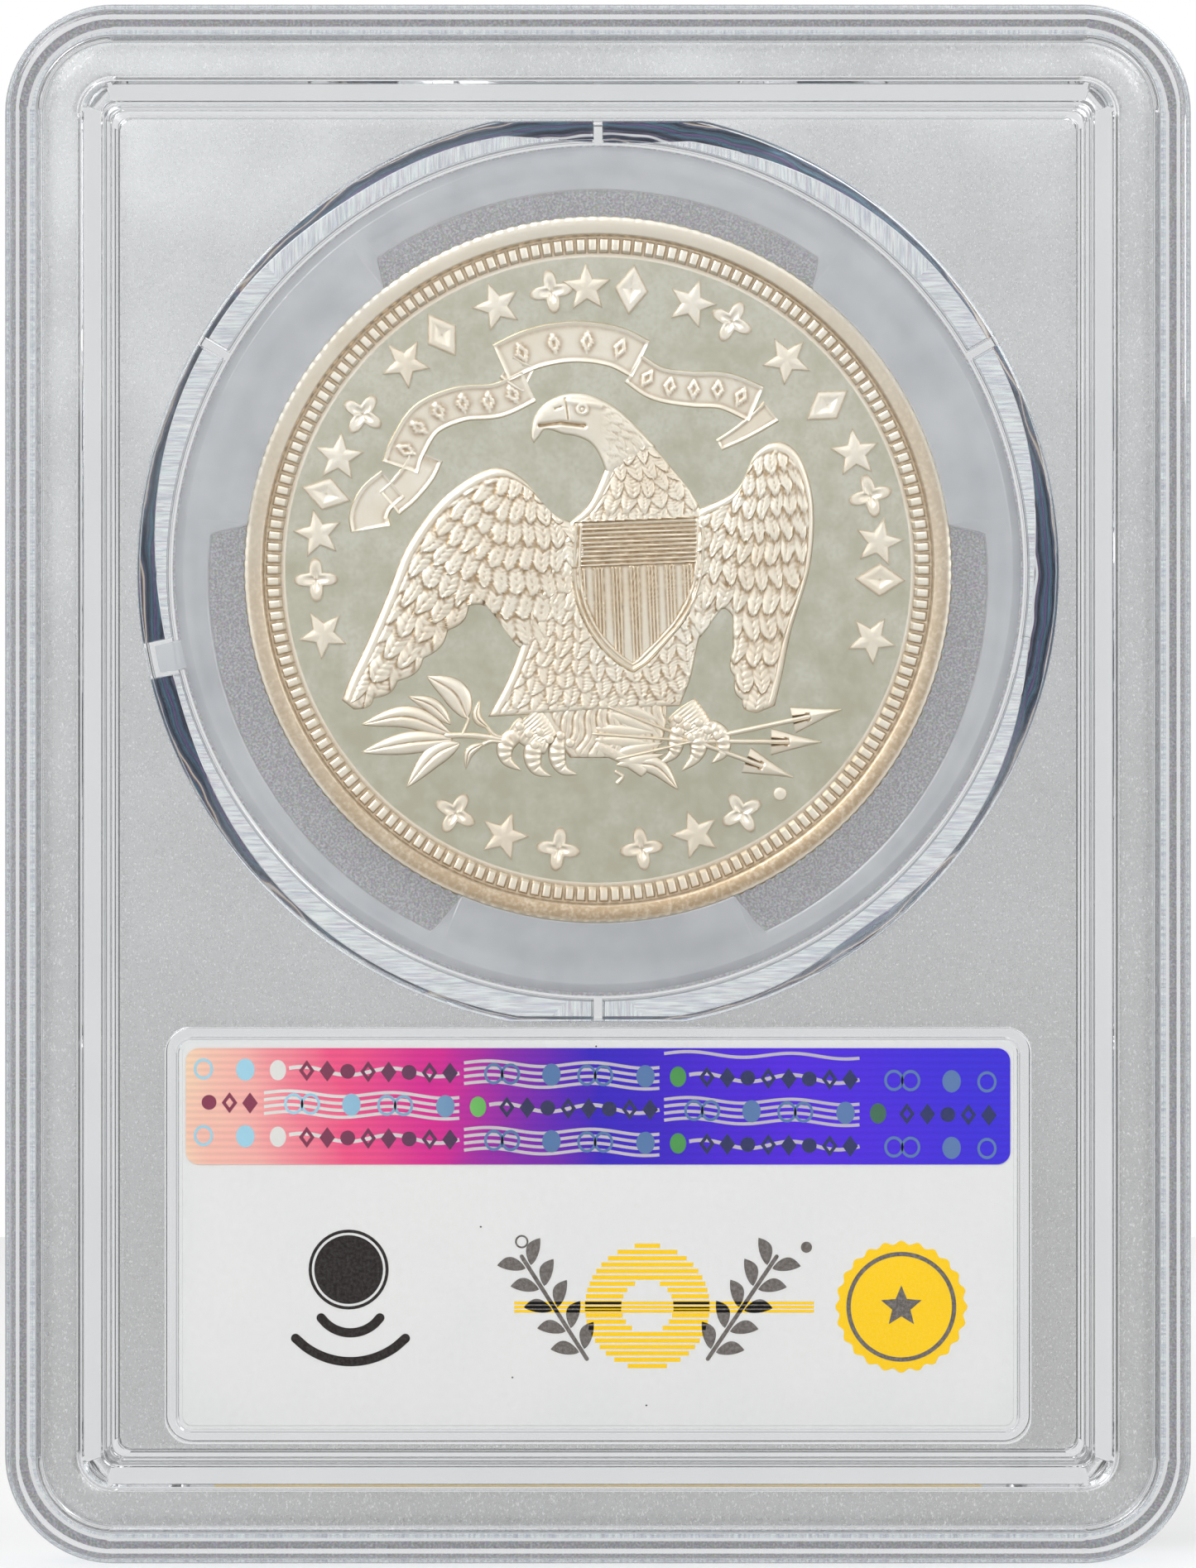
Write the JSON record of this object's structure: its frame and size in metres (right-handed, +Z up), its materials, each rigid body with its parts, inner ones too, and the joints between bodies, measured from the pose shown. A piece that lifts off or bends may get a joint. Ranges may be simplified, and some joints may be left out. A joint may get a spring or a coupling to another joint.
{
  "type": "graded coin slab",
  "caption": "Sealed clear plastic slab that holds a large silver coin in a three-pronged ring insert above a printed label with a foil strip.",
  "frame": {"origin": "middle of the slab's lower short edge, where it stands", "axes": "+Z up the slab from the label end to the coin end; +X along its width; -Y out of its rear face, +Y out of its front face"},
  "size_m": [0.0636, 0.008, 0.0835],
  "materials": {
    "clear_shell": "clear polystyrene, polished rim and windows, fine satin texture on the panel and channel",
    "milky_insert": "clear, slightly milky, polished",
    "coin_silver": "struck silver with mirror fields, frosted relief and a light warm tone",
    "label_paper": "smooth white label stock",
    "hologram_foil": "iridescent embossed foil",
    "tag_film": "clear film",
    "tag_metal": "etched foil",
    "tag_chip": "matt black"
  },
  "bodies": {
    "root": {"front_shell": "clear_shell", "rear_shell": "clear_shell", "coin_ring": "milky_insert", "coin": "coin_silver", "front_label": "label_paper", "rear_label": "label_paper", "foil_strip": "hologram_foil", "tag_film": "tag_film", "tag_antenna": "tag_metal", "tag_chip": "tag_chip"}
  },
  "joints": []
}
